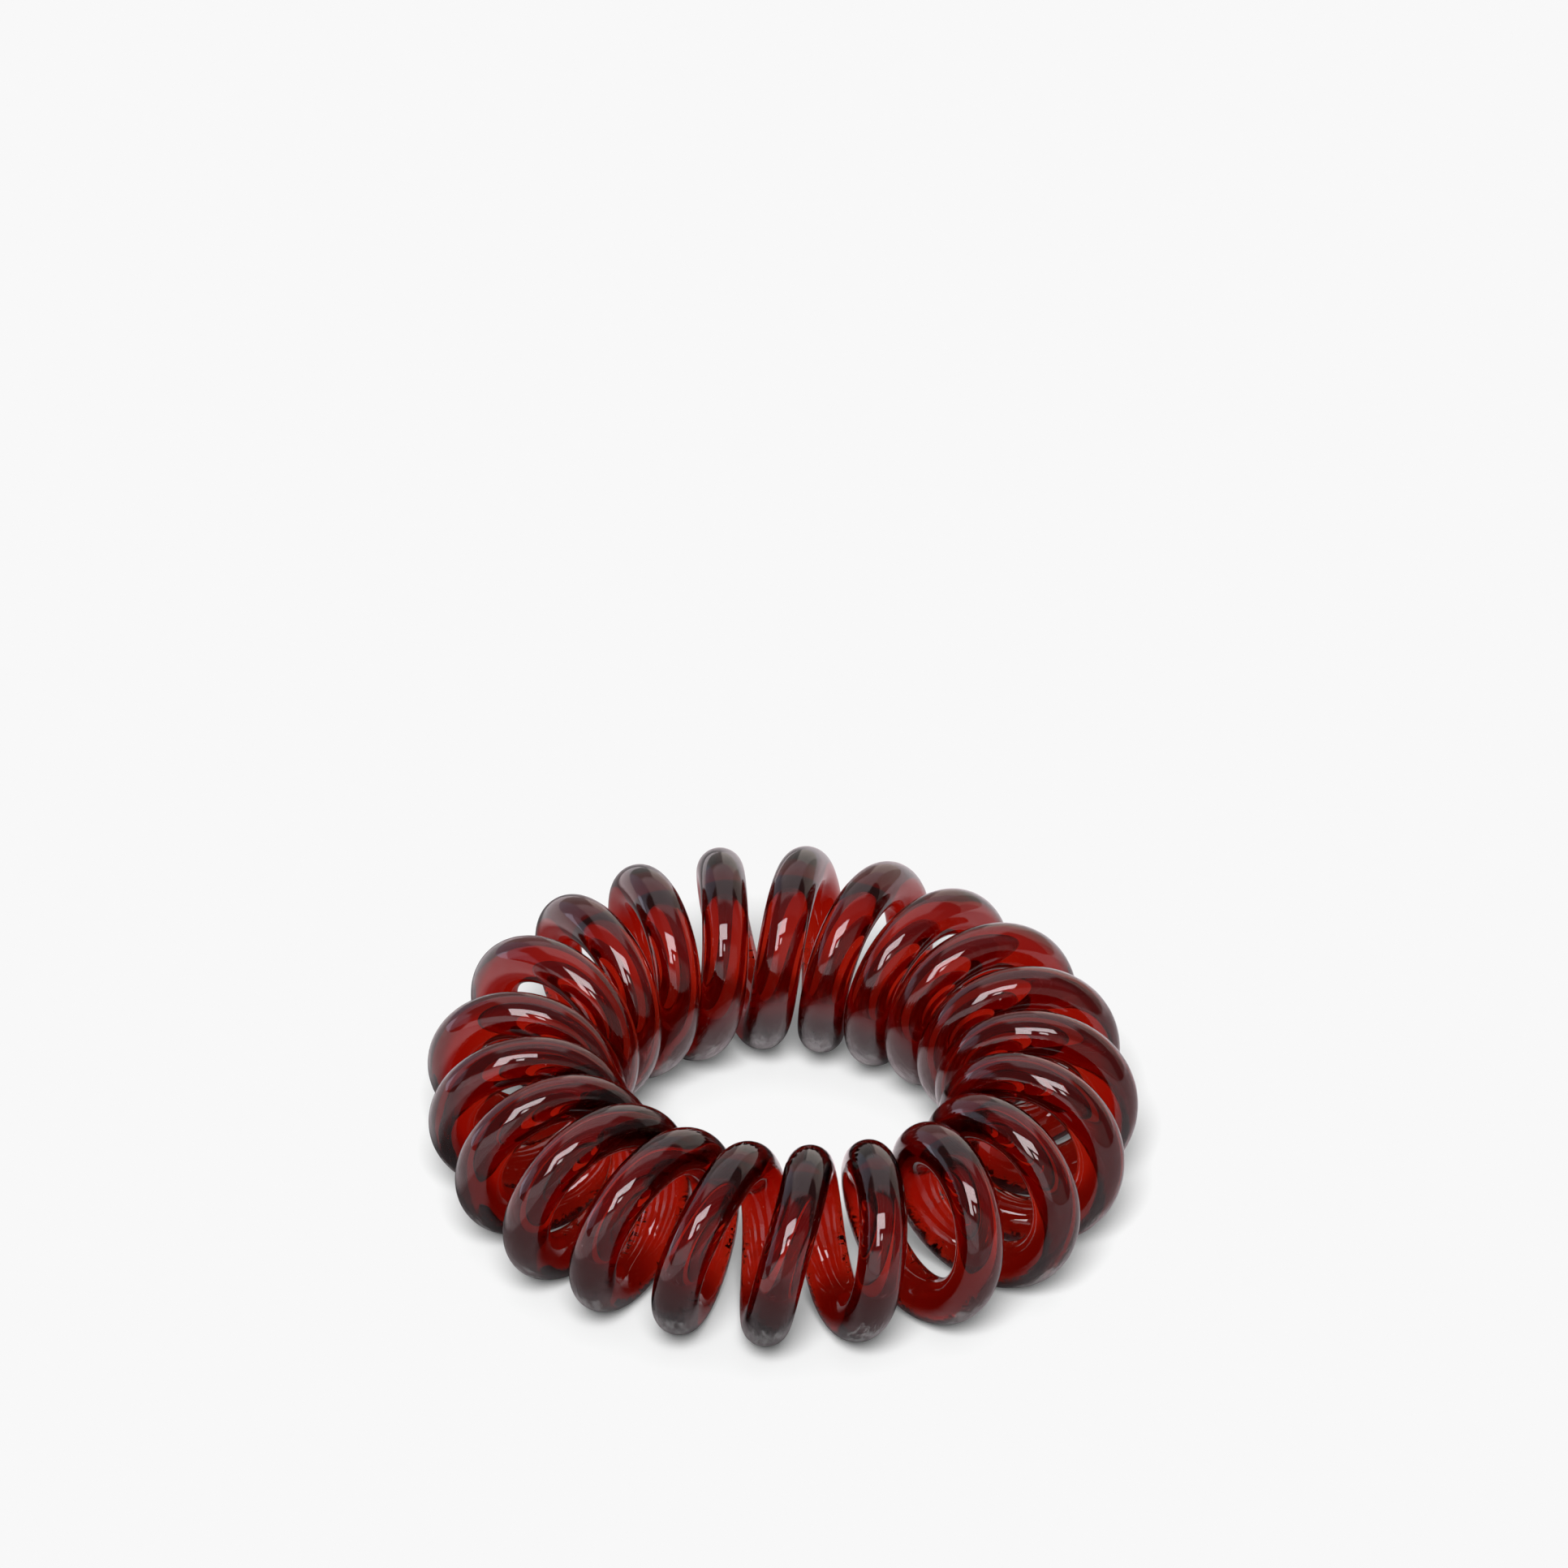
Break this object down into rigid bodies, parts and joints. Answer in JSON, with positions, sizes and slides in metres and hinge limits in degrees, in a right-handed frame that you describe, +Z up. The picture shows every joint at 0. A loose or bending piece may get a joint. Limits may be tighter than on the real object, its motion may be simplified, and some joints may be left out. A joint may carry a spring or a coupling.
{
  "type": "spiral hair tie",
  "caption": "Spiral hair tie: one translucent strand wound into an even coil that closes on itself as a ring, and lies flat.",
  "frame": {"origin": "centre of the ring, on the surface that the tie lies on", "axes": "+Z up through the ring's opening, -Y towards the front of the picture's view, +X to its right"},
  "size_m": [0.04, 0.0395, 0.0119],
  "materials": {
    "strand": "glossy translucent dark red elastomer"
  },
  "bodies": {
    "root": {"spiral_strand": "strand"}
  },
  "joints": []
}
